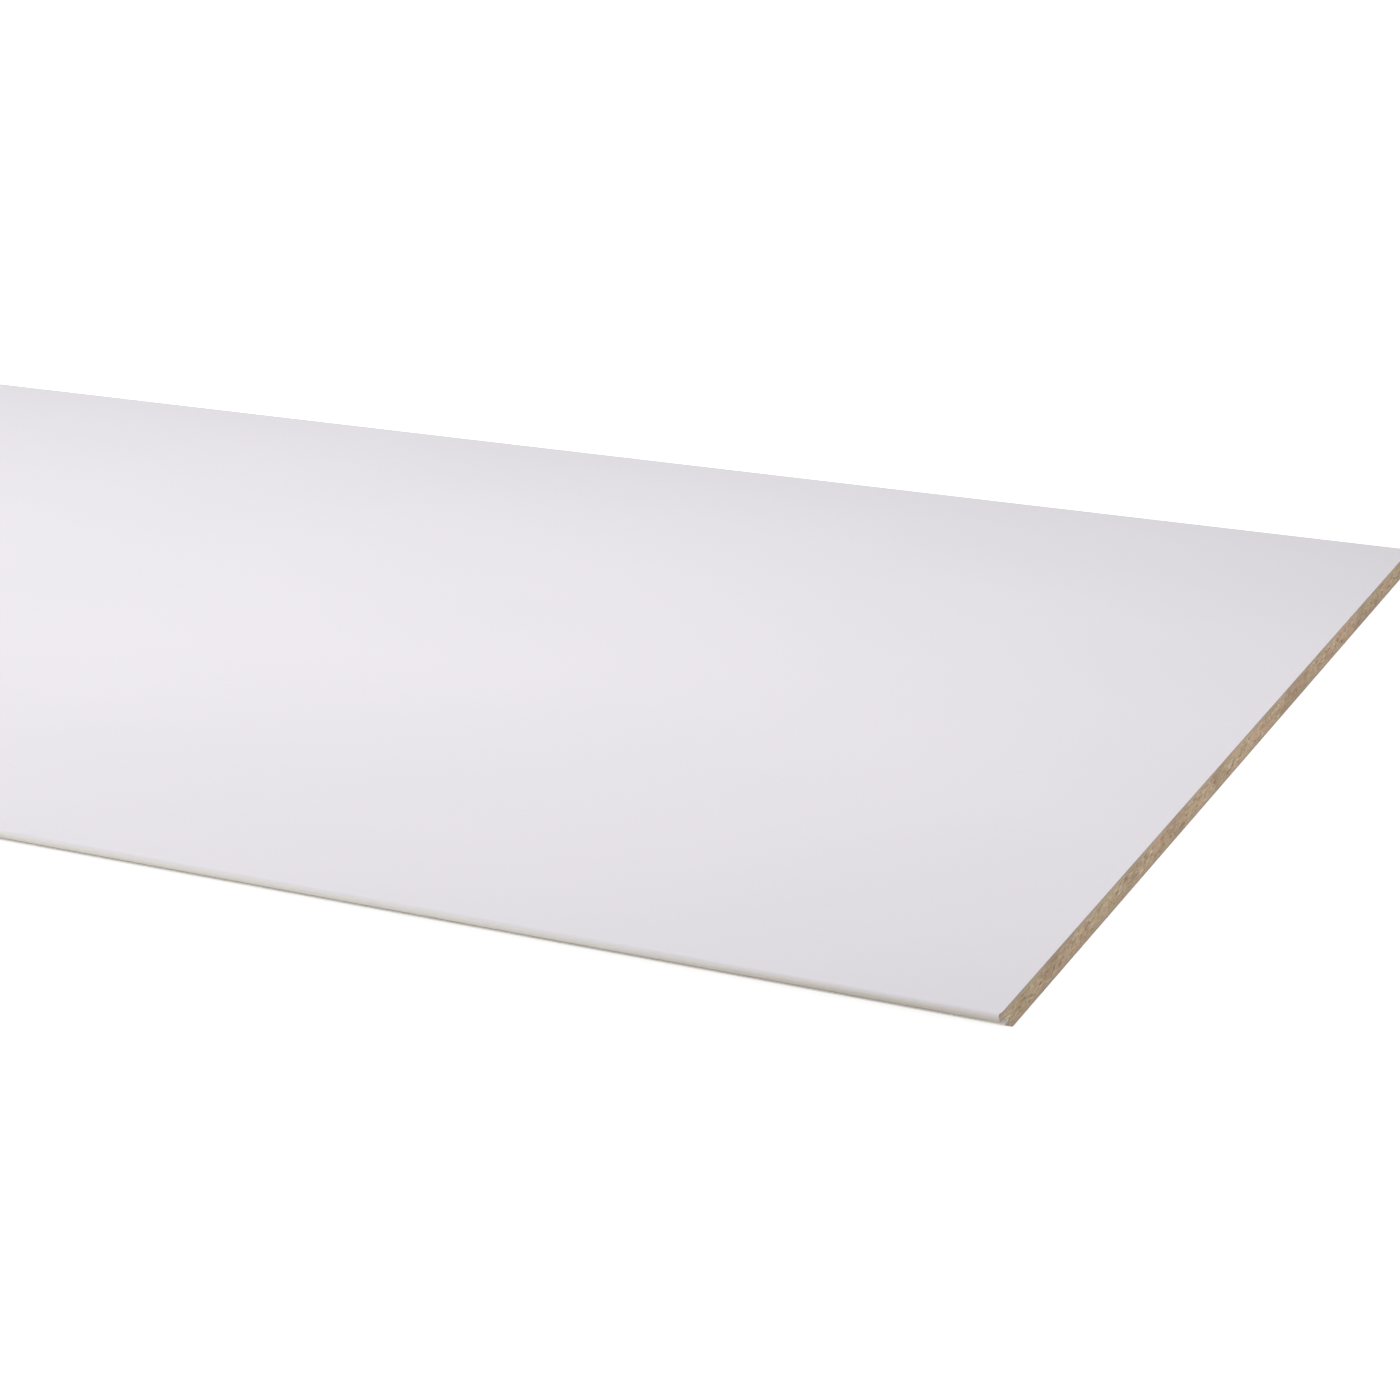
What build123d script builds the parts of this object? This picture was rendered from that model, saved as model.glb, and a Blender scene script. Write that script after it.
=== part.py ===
"""Tongue and groove wall panel: one sawn sheet of white-faced chipboard.

The sheet lies on its back with the white face up. X runs along its length, Y across it from the groove
edge to the tongue edge, and Z up through its thickness. The origin is the middle of the back, taken over
the whole width with the tongue. All sizes are millimetres.
"""

import os
from math import radians, tan

from build123d import *

# The sheet. The face width is what still shows once the next panel is pushed on.
panel_length = 2400.0
face_width = 600.0
thickness = 10.0

# The groove edge, milled as a wedge: wide at its mouth, narrow at its floor. The front lip carries the white
# face and reaches past the back lip, which is bevelled away behind so that panels can be swung together.
front_lip = 2.7
groove_mouth = 3.3
groove_floor = 2.2
groove_depth = 9.2
back_lip_setback = 5.2
back_bevel_angle = 25.0

# How freely the tongue goes into the groove of the next panel.
flank_clearance = 0.15
tip_clearance = 0.5
back_clearance = 0.5

# Softened edges.
face_edge_radius = 1.5
lip_edge_radius = 0.3
groove_corner_radius = 0.3
tongue_tip_radius = 0.5

# Across the sheet: both edges are placed from the middle of the whole width.
tongue_reach = groove_depth - tip_clearance
whole_width = face_width + tongue_reach
groove_edge = -whole_width / 2
tongue_edge = whole_width / 2
shoulder = groove_edge + face_width

# Heights of the groove, measured from the back.
groove_top = thickness - front_lip
groove_bottom = groove_top - groove_mouth
groove_slope = (groove_mouth - groove_floor) / groove_depth
groove_end = groove_edge + groove_depth
back_lip_nose = groove_edge + back_lip_setback
bevel_foot = back_lip_nose + groove_bottom / tan(radians(back_bevel_angle))

# The tongue is the groove's own shape, made smaller by the clearances.
tongue_top = groove_top - flank_clearance
tongue_tip_top = tongue_top - groove_slope * tongue_reach
tongue_bottom = groove_bottom + flank_clearance
back_shoulder = shoulder + back_lip_setback - back_clearance

with BuildPart() as wall_panel:
    # The section across the panel, drawn as the sawn sheet with three passes of the milling cutter.
    with BuildSketch(Plane.YZ.offset(-panel_length / 2)) as section:
        with Locations((0, thickness / 2)):
            Rectangle(whole_width, thickness)

        # The groove, together with the space in front of the back lip and below its bevel.
        with BuildLine():
            Polyline(
                (groove_edge, groove_top),
                (groove_end, groove_bottom + groove_floor),
                (groove_end, groove_bottom),
                (back_lip_nose, groove_bottom),
                (bevel_foot, 0),
                (groove_edge, 0),
                close=True,
            )
        make_face(mode=Mode.SUBTRACT)

        # The sloping rebate above the tongue, which the next panel's front lip covers.
        with BuildLine():
            Polyline(
                (shoulder, thickness),
                (shoulder, tongue_top),
                (tongue_edge, tongue_tip_top),
                (tongue_edge, thickness),
                close=True,
            )
        make_face(mode=Mode.SUBTRACT)

        # The square rebate behind the tongue, which leaves room for the next panel's back lip.
        with Locations((back_shoulder, 0)):
            Rectangle(tongue_edge - back_shoulder, tongue_bottom, align=Align.MIN, mode=Mode.SUBTRACT)

        # The face's two long edges are eased, so that a joint shows as a fine V.
        fillet(section.vertices().group_by(Axis.Y)[-1], face_edge_radius)
        fillet(section.vertices().group_by(Axis.X)[-1], tongue_tip_radius)

        # The noses of the two lips, and the inner corners that the cutter leaves round.
        for corner in ((groove_edge, groove_top), (back_lip_nose, groove_bottom)):
            fillet(section.vertices().sort_by_distance(corner)[0], lip_edge_radius)
        for corner in ((groove_end, groove_bottom + groove_floor), (groove_end, groove_bottom)):
            fillet(section.vertices().sort_by_distance(corner)[0], groove_corner_radius)
    extrude(amount=panel_length)

wall_panel.part.label = "wall_panel"

os.makedirs("parts", exist_ok=True)
export_step(wall_panel.part, "parts/wall_panel.step")
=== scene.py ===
# %% [markdown]
# # A tongue and groove wall panel
# The panel is one sheet of chipboard with a thin white coat on its face. A groove is milled along one long
# edge and a tongue along the other, so that panels push together into a wall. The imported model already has
# the right size and section, so it is loaded first and everything below is made in its frame: metres, with
# X along the panel, Y from the groove to the tongue and Z up from the back to the white face.

import bpy
import numpy as np
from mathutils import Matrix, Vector


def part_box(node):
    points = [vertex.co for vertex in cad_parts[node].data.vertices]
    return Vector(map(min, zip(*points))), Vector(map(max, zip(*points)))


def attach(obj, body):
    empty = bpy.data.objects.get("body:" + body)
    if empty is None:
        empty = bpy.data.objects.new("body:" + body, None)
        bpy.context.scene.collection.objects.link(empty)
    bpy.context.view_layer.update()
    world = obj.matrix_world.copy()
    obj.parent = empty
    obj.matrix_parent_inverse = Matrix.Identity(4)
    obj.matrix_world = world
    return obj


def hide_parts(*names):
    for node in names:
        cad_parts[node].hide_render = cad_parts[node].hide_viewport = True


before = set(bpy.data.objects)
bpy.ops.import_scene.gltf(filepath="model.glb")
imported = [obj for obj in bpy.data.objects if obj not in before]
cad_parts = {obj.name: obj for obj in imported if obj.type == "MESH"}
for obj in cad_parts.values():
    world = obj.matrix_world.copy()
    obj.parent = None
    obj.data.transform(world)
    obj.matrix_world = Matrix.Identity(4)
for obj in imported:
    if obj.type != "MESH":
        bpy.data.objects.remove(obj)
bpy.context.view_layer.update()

lowest, highest = (np.array(corner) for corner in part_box("wall_panel"))
panel_length, whole_width, thickness = np.round((highest - lowest) * 1000, 3)
print("packed panel, mm:", panel_length, "x", whole_width, "x", thickness)

# %% [markdown]
# ## The milled edges
# A cutter shapes the long edges: a wedge groove under a long front lip, a bevel behind the short back lip,
# and two rebates that leave the tongue. A section like this could be traced as one outline, but an outline
# can't carry the roughness of the sawn end. Here it is three layers, one on the other: each is the space
# between two heights that are plain functions of s, the distance in from the groove edge. A rounded edge is
# then only a small drop added to a height. All these sizes are millimetres.

# %% Sizes of the section
face_width = 600.0
front_lip = 2.7
groove_mouth = 3.3
groove_floor = 2.2
groove_depth = 9.2
back_lip_setback = 5.2
back_bevel = np.radians(25.0)
flank_clearance = 0.15
back_clearance = 0.5
face_round = 1.5
lip_round = 0.3
tip_round = 0.5

groove_top = thickness - front_lip
groove_bottom = groove_top - groove_mouth
groove_slope = (groove_mouth - groove_floor) / groove_depth
tongue_top = groove_top - flank_clearance
tongue_bottom = groove_bottom + flank_clearance
back_shoulder = face_width + back_lip_setback - back_clearance
bevel_foot = back_lip_setback + groove_bottom / np.tan(back_bevel)
nose_start = back_lip_setback + lip_round / np.tan(back_bevel / 2) - lip_round
nose_end = nose_start + lip_round - lip_round * np.sin(back_bevel)
print("groove from", round(groove_bottom, 2), "to", round(groove_top, 2), "mm above the back")

# %% [markdown]
# ## The four lines of the section
# Seen on the sawn end, four lines run across the panel: the white face, the line under the front lip, the
# groove's lower flank and the back. Each could be a list of points, but as a formula it can be asked for its
# height at any distance, however fine the grid becomes.

# %% Heights across the panel
def eased(inwards, radius):
    """Drop of a rounded edge at a distance inwards from it.

    It is the radius, less the root of: radius squared, less the square of radius less distance.
    """
    short = radius - np.clip(inwards, 0.0, radius)
    return radius - np.sqrt(radius**2 - short**2)


def face_height(s):
    """The white face: the full thickness, less the rounding at the groove edge and the tongue's shoulder."""
    return thickness - eased(s, face_round) - eased(face_width - s, face_round)


def upper_height(s):
    """The line under the front lip, on through the body, and along the top of the tongue to its tip.

    The flank falls by its slope from the lip's nose, and a straight line through the body joins it to the
    tongue, which falls by the same slope.
    """
    flank = groove_top - groove_slope * s + eased(s, lip_round) - eased(groove_depth - s, lip_round)
    ends = groove_top - groove_slope * groove_depth - lip_round, tongue_top
    body = np.interp(s, (groove_depth, face_width), ends)
    tongue = tongue_top - groove_slope * (s - face_width) - eased(whole_width - s, tip_round)
    return np.where(s <= groove_depth, flank, np.where(s <= face_width, body, tongue))


def lower_height(s):
    """The groove's lower flank from the back lip's nose, on through the body, and under the tongue.

    The flank is level, rounded down at the nose and up at the groove's inner corner. A straight line
    through the body joins it to the tongue, which is rounded up at its tip.
    """
    flank = groove_bottom - eased(s - nose_start, lip_round) + eased(groove_depth - s, lip_round)
    body = np.interp(s, (groove_depth, face_width), (groove_bottom + lip_round, tongue_bottom))
    return np.where(s <= groove_depth, flank, body + eased(whole_width - s, tip_round))


def back_height(s):
    """The back: flat, with a bevel that climbs by its slope to the back lip, and an arc under the nose."""
    nose = groove_bottom - 2 * lip_round + eased(s - nose_start, lip_round)
    return np.where(s < nose_end, nose, np.maximum(0.0, (bevel_foot - s) * np.tan(back_bevel)))


print("tongue root", round(tongue_top - tongue_bottom, 2), "mm high")

# %% [markdown]
# ## Stations across the panel
# The grid needs a column at each corner of the section, and more of them where an edge is rounded, spaced by
# equal angles so that the curve stays smooth. Even columns alone would cut the corners off or be far too
# many. Elsewhere one column every half millimetre is fine enough for the wood chips of the sawn end.

# %% Place the columns
column_step = 0.5
arc_columns = 10
nose_flat = 0.02
nose_front = nose_start + nose_flat
angles = np.radians(np.linspace(0.0, 90.0, arc_columns))


def around(edge, radius, side):
    """Columns round an edge: r times (1 - cos t) in from it, for equal steps of t, on the side given."""
    return edge + side * radius * (1.0 - np.cos(angles))


columns = np.concatenate([
    np.arange(0.0, whole_width, column_step),
    around(0.0, face_round, 1),
    around(0.0, lip_round, 1),
    around(nose_front, lip_round, 1),
    around(groove_depth, lip_round, -1),
    around(face_width, face_round, -1),
    around(whole_width, tip_round, -1),
    (nose_end, groove_depth, bevel_foot, face_width, back_shoulder, whole_width),
])
columns = np.unique(np.round(columns, 3))
print(len(columns), "columns across the panel")

# %% [markdown]
# ## The section as three layers
# Each layer is a grid: its columns run between two stations, and its rows share out the height between the
# layer's two lines. Filling the outline would be quicker, but it gives long thin triangles that can't be
# pushed in and out. The layers meet along the same points, so once equal points are merged the section is
# one sheet of four-sided faces, and the edges that only one face uses are its outline.

# %% Join the layers into one section
slack = 1e-6

# Each layer: where it starts and stops, its lower and upper line, and its rows.
layers = (
    (0.0, face_width, upper_height, face_height, 9),
    (groove_depth, whole_width, lower_height, upper_height, 7),
    (nose_front, back_shoulder, back_height, lower_height, 9),
)


def layer_grid(start, stop, bottom, top, rows):
    """A layer's points and faces: in each column, equal steps of height from the bottom line to the top."""
    s = columns[(columns > start - slack) & (columns < stop + slack)]
    share = np.linspace(0.0, 1.0, rows + 1)
    z = bottom(s)[:, None] + (top(s) - bottom(s))[:, None] * share
    points = np.stack([np.broadcast_to(s[:, None], z.shape), z], axis=-1).reshape(-1, 2)
    index = np.arange(len(points)).reshape(z.shape)
    corners = index[:-1, :-1], index[1:, :-1], index[1:, 1:], index[:-1, 1:]
    return points, np.stack(corners, axis=-1).reshape(-1, 4)


grids = [layer_grid(*layer) for layer in layers]
starts = np.cumsum([0] + [len(points) for points, faces in grids[:-1]])
layer_points = np.round(np.concatenate([points for points, faces in grids]), 4)
layer_faces = np.concatenate([faces + start for (points, faces), start in zip(grids, starts)])
section, merged = np.unique(layer_points, axis=0, return_inverse=True)
section_faces = merged.reshape(-1)[layer_faces]
edge_from = section_faces.reshape(-1)
edge_to = np.roll(section_faces, -1, axis=1).reshape(-1)
count = len(section)
single = ~np.isin(edge_from * count + edge_to, edge_to * count + edge_from)
outline = np.stack([edge_from[single], edge_to[single]], axis=-1)
print(count, "points in the section,", len(outline), "edges in its outline")

# %% [markdown]
# ## The sawn ends
# A saw tears chipboard: whole chips stay flat, and between them the surface drops by a tenth of a
# millimetre, most of all in the coarse core and least in the fine layers near both faces. A Displace
# modifier could do this, but then the material wouldn't know the depth. So it is smooth noise on a lattice
# of flat chips, long across the panel and low in height, and the depth is kept as an attribute, by which the
# material darkens the pits with dust and painted shade. On the right-hand end, a flake has also broken from
# the face's corner.

# %% Roughness of a sawn end
coarse_chip = 3.3, 0.9
fine_chip = 1.2, 0.5
coarse_share = 0.65
core_half = 2.5
core_fade = 1.5
fine_layer_calm = 0.75
pit_level = 0.5
pit_range = 0.4
pit_scale = 0.34
end_seeds = 11, 23
flake_size = np.array((2.0, 1.8))
flake_depth = 0.7


def chip_noise(points, size, seed):
    """Smooth noise: random values from 0 to 1 on a lattice of chips of one length and height.

    Between its four nearest corners they are blended by 3t squared less 2t cubed.
    """
    cells = points / size
    whole = np.floor(cells).astype(int)
    share = cells - whole
    share = share * share * (3.0 - 2.0 * share)
    lattice = np.random.default_rng(seed).random(whole.max(axis=0) + 2)
    i, j = whole.T
    a, b = share.T
    low = lattice[i, j] * (1.0 - a) + lattice[i + 1, j] * a
    high = lattice[i, j + 1] * (1.0 - a) + lattice[i + 1, j + 1] * a
    return low * (1.0 - b) + high * b


def sawn_pits(points, seed):
    """Depth of the pits in mm: chip noise above its middle, scaled down from the core to the fine layers."""
    coarse = chip_noise(points, coarse_chip, seed)
    fine = chip_noise(points, fine_chip, seed + 1)
    blend = coarse_share * coarse + (1.0 - coarse_share) * fine
    past_core = np.abs(points[:, 1] - thickness / 2) - core_half
    torn = 1.0 - fine_layer_calm * np.clip(past_core / core_fade, 0.0, 1.0)
    return pit_scale * torn * np.clip(blend - pit_level, 0.0, pit_range)


pits = np.stack([sawn_pits(section, seed) for seed in end_seeds])
from_corner = np.stack([section[:, 0], thickness - section[:, 1]], axis=-1) / flake_size
flake = flake_depth * np.clip(1.0 - np.hypot(*from_corner.T), 0.0, 1.0)
print("deepest pit, mm:", round(float(pits.max()), 3))
print("broken corner, mm:", round(float(flake.max()), 3))

# %% [markdown]
# ## One closed board
# The outline is now carried along the length, from the left sawn end to the right one, with a station close
# to each end so that its roughness fades out within two millimetres. A modifier could carry it too, but the
# two rough ends would then have to be sewn on. Here the ends are the section itself, pushed in by the pits,
# so the board is closed and every face points outwards.

# %% Carry the section along the panel
rough_zone = 2.0
half = panel_length / 2
inner_stations = half * np.array((-0.6, -0.2, 0.2, 0.6))
stations = np.concatenate([(-half, rough_zone - half), inner_stations, (half - rough_zone, half)])
rim, rim_edges = np.unique(outline, return_inverse=True)
rim_edges = rim_edges.reshape(-1, 2)
across = section[:, 0] - whole_width / 2


def end_points(x):
    """The section's points at the distances x along the panel."""
    return np.stack([x, across, section[:, 1]], axis=-1)


middle = np.stack(np.broadcast_arrays(stations[1:-1, None], across[rim], section[rim, 1]), axis=-1)
board_points = np.concatenate([
    end_points(pits[0] - half),
    end_points(half - np.maximum(pits[1], flake)),
    middle.reshape(-1, 3),
])
inner_rings = 2 * count + np.arange(middle.shape[0] * len(rim)).reshape(-1, len(rim))
rings = np.concatenate([rim[None], inner_rings, count + rim[None]])
begin, end = rings[:, rim_edges[:, 0]], rings[:, rim_edges[:, 1]]
side_faces = np.stack([begin[:-1], end[:-1], end[1:], begin[1:]], axis=-1)
board_faces = np.concatenate([section_faces[:, ::-1], section_faces + count, side_faces.reshape(-1, 4)])
print(len(board_points), "points and", 2 * len(board_faces), "triangles in the board")

# %% [markdown]
# ## Which finish goes where
# The board has four kinds of surface: the coated face, the milled edges with the rounding above them, the
# two sawn ends and the sanded back. They could be four objects, but the real panel is one piece, so one mesh
# has four finishes. Each face along the sides gets its finish from the height of its edge of the outline.

# %% Sort the faces by finish
finishes = ("white_coat", "milled_edge", "sawn_end", "sanded_back")
coat_border = 0.1
outline_height = section[outline, 1].mean(axis=1)
kind = np.full(len(outline), finishes.index("milled_edge"))
kind[outline_height > thickness - coat_border] = finishes.index("white_coat")
kind[outline_height < slack] = finishes.index("sanded_back")
face_kind = np.concatenate([
    np.full(2 * len(section_faces), finishes.index("sawn_end")),
    np.tile(kind, len(stations) - 1),
])
print({name: int(np.sum(face_kind == number)) for number, name in enumerate(finishes)}, "faces")

# %% [markdown]
# ## The mesh
# The arrays go into the mesh in one piece each, which is much faster than adding points one by one. Edges
# that turn sharply stay crisp and all others are shaded smooth, so that the rounded edges show no facets.

# %% Make the mesh
sharp_turn = np.radians(32.0)
pit_depth = np.concatenate([pits[0], pits[1], np.zeros(middle.shape[0] * len(rim))])

mesh = bpy.data.meshes.new("wall_panel_board")
mesh.vertices.add(len(board_points))
mesh.vertices.foreach_set("co", (board_points / 1000).ravel())
mesh.loops.add(board_faces.size)
mesh.loops.foreach_set("vertex_index", board_faces.ravel())
mesh.polygons.add(len(board_faces))
mesh.polygons.foreach_set("loop_start", np.arange(0, board_faces.size, 4))
mesh.polygons.foreach_set("use_smooth", np.ones(len(board_faces), bool))
mesh.update(calc_edges=True)
mesh.attributes.new("sawn_pit", "FLOAT", "POINT").data.foreach_set("value", pit_depth)
mesh.set_sharp_from_angle(angle=sharp_turn)
board = bpy.data.objects.new("wall_panel_board", mesh)
bpy.context.collection.objects.link(board)
print("mesh had to be mended:", mesh.validate())

# %% [markdown]
# ## Sums with sockets
# A material is a web of nodes, and sums in it are easier to read as sums. This class wraps a socket, so that
# a plain expression such as 1 - mask adds the Math node it stands for. Every other node comes from its one
# method: the kind of node, its settings, and then the value or the link of each socket.

# %% A socket that can be calculated with
class Wire:
    """A socket in a tree of nodes, which can be added, taken away and multiplied."""

    def __init__(self, tree, socket=None):
        self.tree = tree
        self.socket = socket

    def node(self, kind, settings=(), sockets=(), out=0):
        """Add one node, set its settings and then its sockets, and give back one of its outputs."""
        made = self.tree.nodes.new("ShaderNode" + kind)
        for name, value in dict(settings).items():
            if name == "stops":
                stops = made.color_ramp.elements
                while len(stops) < len(value):
                    stops.new(value[len(stops) - 1][0])
                for stop, (place, colour) in zip(stops, value):
                    stop.position = place
                    stop.color = (*colour, 1.0)
            else:
                setattr(made, name, value)
        for key, value in dict(sockets).items():
            if isinstance(value, Wire):
                self.tree.links.new(value.socket, made.inputs[key])
            else:
                made.inputs[key].default_value = value
        return Wire(self.tree, made.outputs[out] if len(made.outputs) else None)

    def sum_of(self, operation, first, second):
        """Add one Math node that works on two values, of which either may be a plain number."""
        return self.node("Math", {"operation": operation}, {0: first, 1: second})

    def __add__(self, other):
        return self.sum_of("ADD", self, other)

    def __sub__(self, other):
        return self.sum_of("SUBTRACT", self, other)

    def __rsub__(self, other):
        return self.sum_of("SUBTRACT", other, self)

    def __mul__(self, other):
        return self.sum_of("MULTIPLY", self, other)

    def __abs__(self):
        return self.node("Math", {"operation": "ABSOLUTE"}, {0: self})

    __radd__ = __add__
    __rmul__ = __mul__


def new_finish(name):
    """An empty material, and a wire to start its nodes from."""
    finish = bpy.data.materials.new(name)
    finish.use_nodes = True
    finish.node_tree.nodes.clear()
    return finish, Wire(finish.node_tree)


print("sockets can be calculated with")

# %% [markdown]
# ## Helpers that every finish needs
# Patterns are placed by Object coordinates, so they stay on the board in any view. Stretching those
# coordinates makes chips flat or streaks long. A ramp between two values turns noise into a mask, and a mask
# mixes two colours. Relief too fine for the mesh is a Bump node.

# %% Patterns, masks and mixed colours
def place_along(wire, axis):
    """The Object coordinate along one axis, in millimetres."""
    place = wire.node("TexCoord", out="Object")
    return 1000.0 * wire.node("SeparateXYZ", sockets={0: place}, out=axis)


def stretched(wire, sizes):
    """Object coordinates divided by a size in each direction, so that one unit is one chip or streak."""
    place = wire.node("TexCoord", out="Object")
    scales = tuple(1000.0 / size for size in sizes)
    return wire.node("VectorMath", {"operation": "MULTIPLY"}, {0: place, 1: scales})


def noise(wire, sizes, detail=2.0):
    """Noise from 0 to 1 whose lumps have the sizes given, in millimetres."""
    sockets = {"Vector": stretched(wire, sizes), "Scale": 1.0, "Detail": detail}
    return wire.node("TexNoise", {"normalize": True}, sockets)


def mask(value, low, high):
    """0 below the low value, 1 above the high one, and smooth between them."""
    return value.node("MapRange", {"interpolation_type": "SMOOTHSTEP"}, {0: value, 1: low, 2: high})


def mixed(share, first, second):
    """The first colour where the share is 0, the second where it is 1."""
    return share.node("Mix", {"data_type": "RGBA"}, {0: share, 6: first, 7: second}, out=2)


def finish_off(wire, colour, roughness, shine, strength, depth, height):
    """Join the surface to the material's output: a colour, how rough and how shiny it is, and its relief.

    The relief is a height from 0 to 1, of a depth in millimetres, felt at the strength given.
    """
    relief = {"Strength": strength, "Distance": depth / 1000, "Height": height}
    surface = wire.node("BsdfPrincipled", sockets={
        "Base Color": colour,
        "Roughness": roughness,
        "Specular IOR Level": shine,
        "Normal": wire.node("Bump", sockets=relief),
    })
    wire.node("OutputMaterial", sockets={"Surface": surface})


print("patterns are ready")

# %% [markdown]
# ## The white coat
# The face is a hard white film with a satin shine and a faint lilac cast. It isn't perfectly even: the film
# follows the pressed chips below it by about a hundredth of a millimetre, and its colour drifts a little
# from place to place. A plain white would look like plastic, so both are added, but only just.

# %% White coat
coat_colour = (0.792, 0.760, 0.808, 1.0)
coat_shade = (0.777, 0.748, 0.792, 1.0)

white_coat, wire = new_finish("white_coat")
drift = noise(wire, (260.0, 160.0, 160.0))
grain = noise(wire, (2.4, 2.4, 2.4), detail=3.0)
pores = noise(wire, (0.5, 0.5, 0.5))
finish_off(
    wire,
    colour=mixed(mask(0.7 * drift + 0.3 * grain, 0.35, 0.65), coat_shade, coat_colour),
    roughness=0.46 + 0.08 * grain,
    shine=0.35,
    strength=0.12,
    depth=0.1,
    height=0.7 * grain + 0.3 * pores,
)
print("made", white_coat.name)

# %% [markdown]
# ## Wood chips
# Chipboard is thousands of flat chips glued under pressure: straw, tan and brown, with a few dark specks of
# bark. A picture of it could be wrapped round the board, but it would repeat and show seams. A Voronoi
# pattern cuts space into cells with a random colour each, so cells that are flattened in Z are chips. The
# coordinates are shaken by noise first, so that no chip has straight sides.

# %% Colours of the chips
chip_tints = (
    (0.00, (0.163, 0.1, 0.056)),
    (0.08, (0.296, 0.196, 0.115)),
    (0.30, (0.437, 0.322, 0.215)),
    (0.60, (0.496, 0.381, 0.263)),
    (0.82, (0.511, 0.348, 0.215)),
    (0.92, (0.585, 0.481, 0.359)),
    (1.00, (0.636, 0.555, 0.433)),
)


def chips(wire, sizes):
    """Random value per chip: Voronoi cells of the sizes given, in coordinates that noise has shaken."""
    place = stretched(wire, sizes)
    shake = wire.node("TexNoise", sockets={"Vector": place, "Scale": 1.3, "Detail": 2.0}, out="Color")
    shaken = wire.node("VectorMath", {"operation": "ADD"}, {0: place, 1: shake})
    cells = wire.node("TexVoronoi", sockets={"Vector": shaken, "Scale": 1.0}, out="Color")
    return wire.node("SeparateColor", sockets={0: cells})


def tinted(value):
    """The colour of a chip with this random value."""
    return value.node("ValToRGB", {"stops": chip_tints}, {0: value})


print(len(chip_tints), "tints of chip")

# %% [markdown]
# ## Chips on the sawn end
# Both short ends show the inside of the board. The core has chips of several millimetres with long slivers
# among them, and in the outer one or two millimetres they give way to fine, greyer ones. The saw opens the
# chips, so brown fibres show as thin lines along them, and pale grit lies between. One pattern can't show
# all of these sizes at once, so each has its own and they are mixed one over the other.

# %% Chips, fibres and grit
fibre_brown = (0.318, 0.215, 0.133, 1.0)
grit_straw = (0.607, 0.496, 0.355, 1.0)
fine_layer_grey = (0.348, 0.303, 0.259, 1.0)

sawn_end, wire = new_finish("sawn_end")
from_middle = abs(place_along(wire, "Z") - thickness / 2)
near_face = mask(from_middle + 1.2 * noise(wire, (6.0, 6.0, 2.0)), 3.4, 4.6)
coarse_chips = chips(wire, (2.6, 2.6, 0.75))
fine_chips = chips(wire, (0.9, 0.9, 0.35))
slivers = chips(wire, (6.0, 6.0, 0.4))
fibres = noise(wire, (3.0, 3.0, 0.14), detail=3.0)
grit = noise(wire, (0.4, 0.4, 0.25), detail=3.0)
core = mixed(0.6 * mask(slivers, 0.78, 0.8), tinted(coarse_chips), tinted(0.4 + 0.6 * fine_chips))
wood = mixed(near_face, core, tinted(0.25 + 0.5 * fine_chips))
wood = mixed(0.45 * mask(fibres, 0.45, 0.72), wood, fibre_brown)
wood = mixed(0.4 * mask(grit, 0.5, 0.68), wood, grit_straw)
wood = mixed(0.5 * near_face, wood, fine_layer_grey)
print("sawn wood has coarse chips, fine chips, slivers, fibres and grit")

# %% [markdown]
# ## Drift, pits and bands under the faces of the sawn end
# The wood came from several trees, so some stretches are redder, others straw-coloured and others dull.
# Specks of bark are dark brown. Pits are darker, partly from dust and partly from painted shade that gathers
# there. A pattern could only guess where they are, so the depth that the mesh carries is used. Right under
# both faces the sawn end is darker and greyer in a thin band, and the saw leaves faint upright lines.

# %% Sawn end
red_wood = (0.49, 0.32, 0.22, 1.0)
straw_wood = (0.43, 0.36, 0.22, 1.0)
dull_wood = (0.296, 0.211, 0.137, 1.0)
bark_brown = (0.148, 0.096, 0.059, 1.0)
# Dust and painted shade in the pits of the sawn end.
pit_dust_and_shade = (0.178, 0.118, 0.074, 1.0)
# Grey for a thin band of the sawn end right under both faces.
under_face_grey = (0.266, 0.229, 0.207, 1.0)

trees = noise(wire, (22.0, 22.0, 7.0))
tone = noise(wire, (34.0, 34.0, 16.0))
bark = noise(wire, (1.4, 1.4, 0.6))
pit = wire.node("Attribute", {"attribute_name": "sawn_pit"}, out="Fac")
saw_lines = noise(wire, (0.6, 0.6, 9.0))
wood = mixed(0.5 * mask(trees, 0.5, 0.68), wood, red_wood)
wood = mixed(0.45 - 0.45 * mask(trees, 0.32, 0.5), wood, straw_wood)
wood = mixed(0.5 * mask(tone, 0.48, 0.68), wood, dull_wood)
wood = mixed(0.55 * mask(bark, 0.62, 0.76), wood, bark_brown)
# Painted shade with some dust: the colour is darker where the mesh's pits are deeper.
wood = mixed(0.35 * mask(pit, 0.01, 0.09), wood, pit_dust_and_shade)
# Darker and greyer in a thin band right under both faces.
wood = mixed(0.45 * mask(from_middle + 0.3 * grit, 4.5, 4.85), wood, under_face_grey)
finish_off(
    wire,
    colour=wood,
    roughness=0.86 - 0.1 * fine_chips,
    shine=0.25,
    strength=0.5,
    depth=0.2,
    height=0.5 * coarse_chips + 0.3 * fine_chips + 0.4 * fibres + 0.2 * saw_lines,
)
print("made", sawn_end.name)

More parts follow.
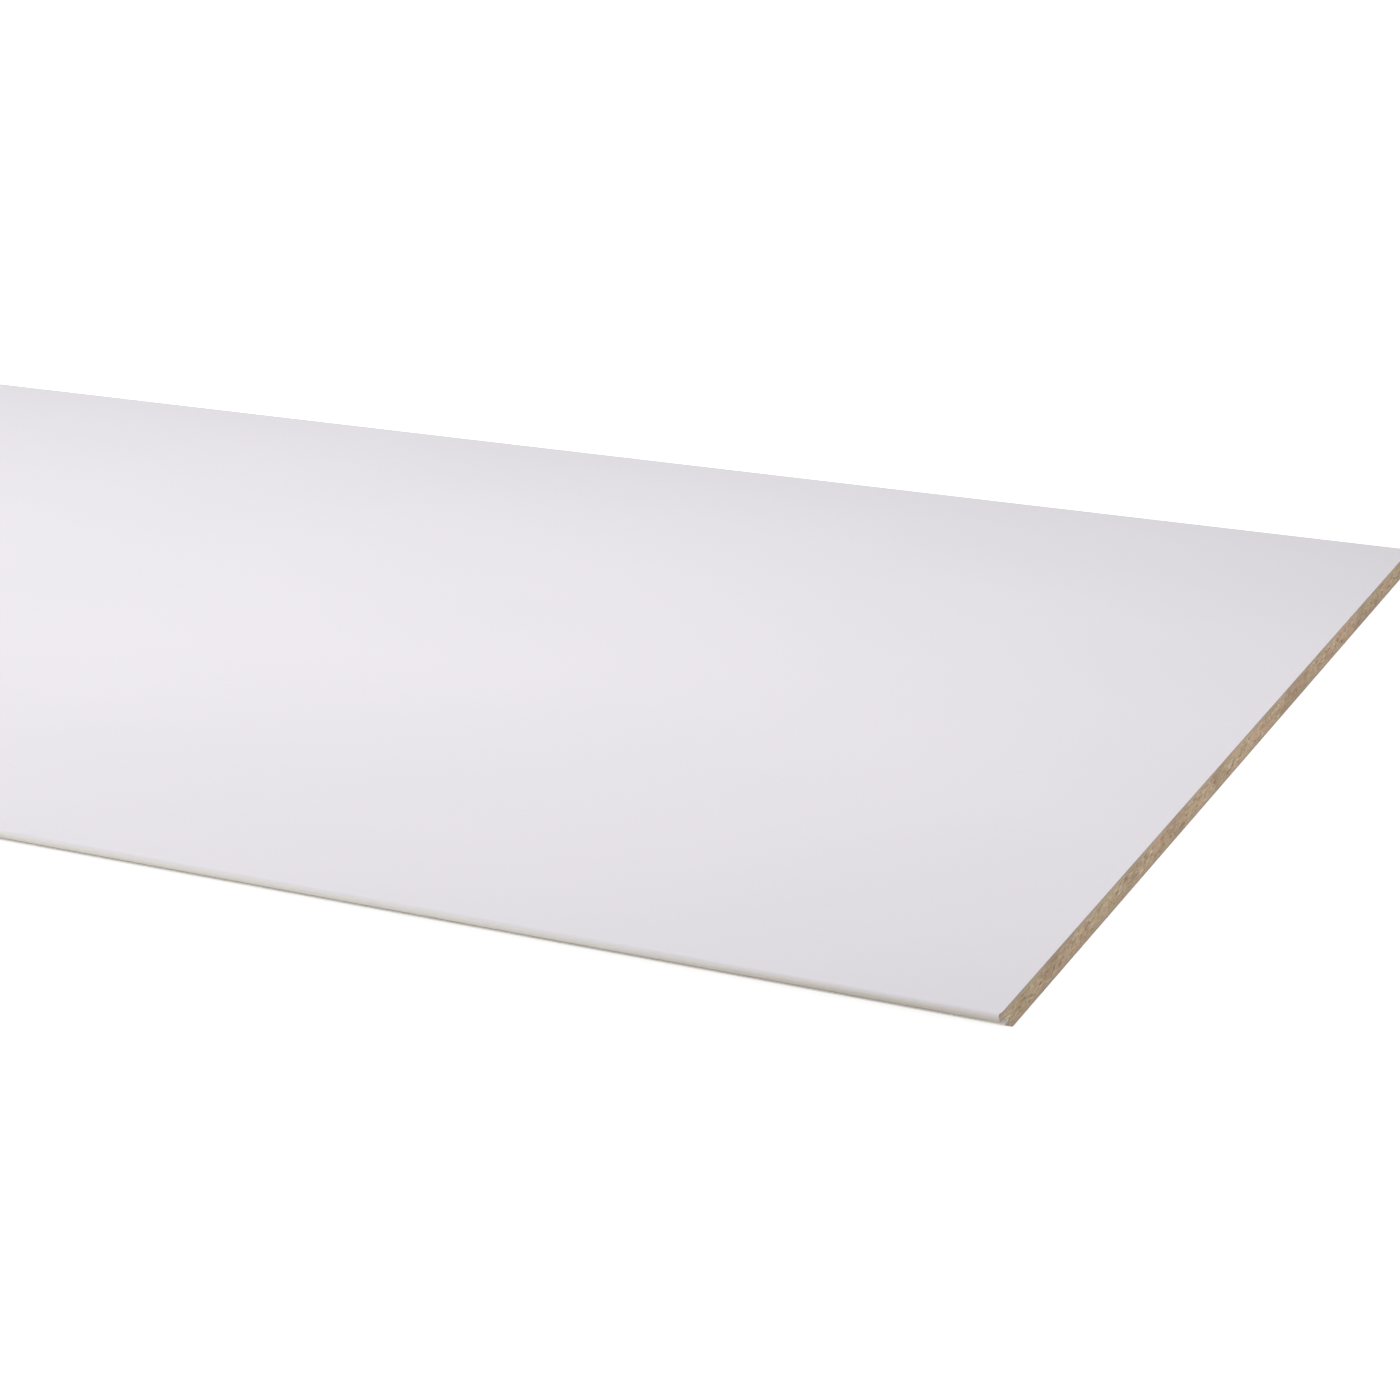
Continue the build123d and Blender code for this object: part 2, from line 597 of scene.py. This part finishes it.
# %% [markdown]
# ## The milled edge
# The cutter runs along the panel, so its marks are streaks along X. The edge is rolled with a pale primer,
# which keeps the groove light inside because light bounces between its flanks. On the front of the lip the
# white coat runs out downwards, and handling has rubbed the lip until dusty chips show through, most of all
# at its nose and near the ends, while the groove is hardly touched. Painted masks could do this, but heights
# and lengths are known here, so the masks are worked out from them, in millimetres.

# %% Milled edge
primer = (0.87, 0.84, 0.79, 1.0)
milling_dust = (0.48, 0.46, 0.45, 1.0)
nose_stops = 9.4
coat_runs_out, coat_is_full = 8.6, 10.6
handled_from, handled_fully = 1060.0, 1190.0

milled_edge, wire = new_finish("milled_edge")
height = place_along(wire, "Z")
streaks = noise(wire, (40.0, 0.8, 0.5))
edge_chips = chips(wire, (1.8, 0.9, 0.4))
bare = mask(0.6 * noise(wire, (7.0, 2.0, 1.0)) + 0.4 * streaks, 0.52, 0.72)
on_lip = mask(height, groove_top - 0.2, groove_top + 0.1)
nose = 1.0 - mask(height, groove_top, nose_stops)
handled = mask(abs(place_along(wire, "X")) + 60.0 * streaks, handled_from, handled_fully)
rubbed = 0.12 * bare + on_lip * (0.32 * nose + 0.34 * handled)
edge_wood = mixed(0.4 + 0.2 * streaks, tinted(0.25 + 0.6 * edge_chips), milling_dust)
edge_colour = mixed(rubbed, primer, edge_wood)
coated = mask(height + 0.6 * streaks, coat_runs_out, coat_is_full)
finish_off(
    wire,
    colour=mixed(coated, edge_colour, coat_colour),
    roughness=0.62 + 0.2 * bare,
    shine=0.3,
    strength=0.4,
    depth=0.2,
    height=0.6 * streaks + 0.4 * edge_chips,
)
print("made", milled_edge.name)

# %% [markdown]
# ## The sanded back
# The back goes against the wall, so it is left as it came from the sander: fine dust-like chips, pressed
# smooth, with faint sanding lines along the panel. The chips of the sawn end would be too bold here, so they
# are smaller and a veil of sanding dust lies over them.

# %% Sanded back
sanding_dust = (0.42, 0.34, 0.245, 1.0)

sanded_back, wire = new_finish("sanded_back")
flakes = chips(wire, (2.2, 1.6, 1.0))
dust = chips(wire, (0.8, 0.8, 0.8))
cloud = noise(wire, (70.0, 45.0, 45.0), detail=3.0)
sanding = noise(wire, (90.0, 0.7, 0.7))
wood = mixed(0.35 + 0.2 * cloud, tinted(0.15 + 0.7 * flakes), tinted(0.3 + 0.45 * dust))
wood = mixed(0.25 + 0.3 * cloud, wood, sanding_dust)
finish_off(
    wire,
    colour=wood,
    roughness=0.74 + 0.12 * sanding,
    shine=0.25,
    strength=0.25,
    depth=0.1,
    height=0.5 * dust + 0.5 * sanding,
)
print("made", sanded_back.name)

# %% [markdown]
# ## Put the board in its place
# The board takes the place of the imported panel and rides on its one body, so that it goes wherever the panel
# goes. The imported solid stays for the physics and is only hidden.

# %% Ride on the panel's body
for finish in (white_coat, milled_edge, sawn_end, sanded_back):
    mesh.materials.append(finish)
mesh.polygons.foreach_set("material_index", face_kind)
mesh.update()
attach(board, "root")
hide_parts("wall_panel")
print("board rides on root with", len(mesh.materials), "finishes")

# %% [markdown]
# ## Floor and background
# The panel lies on a plain white studio floor. Seen by the camera the floor has some light of its own, so
# that it goes up to white and still keeps the soft shadow under the panel's edge. More lamps could whiten it
# too, but they would bleach the panel. The light that the floor throws back is only what falls on it.

# %% Floor
white = (1.0, 1.0, 1.0, 1.0)
floor_glow = 0.71
floor_half = 30.0
floor_drop = 0.0003


def looked_at(wire):
    """1 where the camera looks, straight on or by a shiny or clear surface, and 0 for light that bounces."""
    straight = wire.node("LightPath", out="Is Camera Ray")
    mirrored = wire.node("LightPath", out="Is Glossy Ray")
    return straight + mirrored + wire.node("LightPath", out="Is Transmission Ray")


floor_finish, wire = new_finish("studio_floor")
paper = 0.80 + 0.02 * noise(wire, (30.0, 30.0, 30.0))
paper_colour = wire.node("CombineColor", sockets={0: paper, 1: paper, 2: paper})
matt = wire.node("BsdfDiffuse", sockets={"Color": paper_colour})
glow = wire.node("Emission", sockets={"Color": white, "Strength": floor_glow * looked_at(wire)})
wire.node("OutputMaterial", sockets={"Surface": wire.node("AddShader", sockets={0: matt, 1: glow})})

floor_mesh = bpy.data.meshes.new("studio_floor")
floor_corners = np.array(((-1, -1), (1, -1), (1, 1), (-1, 1))) * floor_half
floor_points = np.column_stack([floor_corners, np.full(4, -floor_drop)])
floor_mesh.from_pydata(floor_points.tolist(), [], [(0, 1, 2, 3)])
floor_mesh.materials.append(floor_finish)
floor = bpy.data.objects.new("studio_floor", floor_mesh)
bpy.context.collection.objects.link(floor)
print("floor laid")

# %% [markdown]
# ## Studio light
# Even light from all round gives the panel its plain tone, as a white studio does. It comes from the world's
# background, which the camera sees as plain white. A picture of a real studio could be used instead, but it
# would show in the satin face.

# %% Light all round
ambient = 0.424

world = bpy.data.worlds.new("studio_light")
bpy.context.scene.world = world
world.use_nodes = True
world.node_tree.nodes.clear()
wire = Wire(world.node_tree)
brightness = ambient + (1.0 - ambient) * looked_at(wire)
sky = wire.node("Background", sockets={"Color": white, "Strength": brightness})
wire.node("OutputWorld", sockets={"Surface": sky})
print("light all round", ambient)

# %% [markdown]
# ## Four soft lamps
# A long lamp hangs over the middle of the panel, so the face is brightest along its middle and falls off a
# little towards both ends. It hardly reaches the upright edges, so a large lamp in front lights the milled
# edge, and a small low one beside each end lights the sawn wood. A point lamp would throw hard shadows, so
# each is a rectangle, turned towards what it lights. Only the long lamp is mirrored in the satin face, where
# the low ones would show as glare.

# %% Lamps
overhead_size = 2.68, 0.72
overhead_power = 5.83
overhead_height = 0.5
front_size = 1.2, 0.8
front_power = 16.5
end_size = 0.6, 0.12
end_power = 1.42
end_height = 0.08
end_distance = 0.55


def soft_lamp(name, size, power, place, target, mirrored=False):
    """A rectangular lamp at a place, turned towards a target.

    The camera can't see it, and only one that is mirrored shows in shiny surfaces.
    """
    data = bpy.data.lights.new(name, "AREA")
    data.shape = "RECTANGLE"
    data.size, data.size_y = size
    data.energy = power
    lamp = bpy.data.objects.new(name, data)
    lamp.location = place
    lamp.rotation_euler = (Vector(target) - Vector(place)).to_track_quat("-Z", "Y").to_euler()
    lamp.visible_camera = False
    lamp.visible_glossy = mirrored
    bpy.context.collection.objects.link(lamp)
    print(name, power, "W")


under_lamp = Vector((0.0, -0.01, 0.0))
overhead = under_lamp + Vector((0.0, 0.0, overhead_height))
soft_lamp("lamp_over_panel", overhead_size, overhead_power, overhead, under_lamp, mirrored=True)
soft_lamp("front_fill", front_size, front_power, (0.0, -2.2, 0.85), (0.0, -0.3, 0.0))
panel_end = float(half) / 1000
for name, side in (("right_end_fill", 1), ("left_end_fill", -1)):
    beside = side * (panel_end + end_distance), 0.0, end_height
    soft_lamp(name, end_size, end_power, beside, (side * panel_end, 0.0, 0.0))

# %% [markdown]
# ## Camera
# The picture is taken from in front of the right end, a little above the panel, and shows only the part of
# its length near that end. A wide lens could take in more of it from as near, but the ends would splay. A
# long lens keeps the panel's proportions.

# %% Camera
frame_width = 36.0
lens = 82.376
camera_place = 1.5108, -1.2203, 0.4508
heading, tilt = np.radians((-24.591, 18.997))

camera_data = bpy.data.cameras.new("camera")
camera_data.sensor_width = frame_width
camera_data.lens = lens
camera_data.dof.use_dof = False
camera = bpy.data.objects.new("camera", camera_data)
camera.location = camera_place
looking = Vector((np.sin(heading) * np.cos(tilt), np.cos(heading) * np.cos(tilt), -np.sin(tilt)))
camera.rotation_euler = looking.to_track_quat("-Z", "Y").to_euler()
bpy.context.collection.objects.link(camera)
bpy.context.scene.camera = camera
bpy.context.scene.view_settings.view_transform = "Standard"
print("camera at", camera_place)

# %% [markdown]
# ## Bring the scene up to date
# The dressed board has to be as large as the imported panel. Here the view layer is only brought up to date.

# %% Update the scene
bpy.context.view_layer.update()
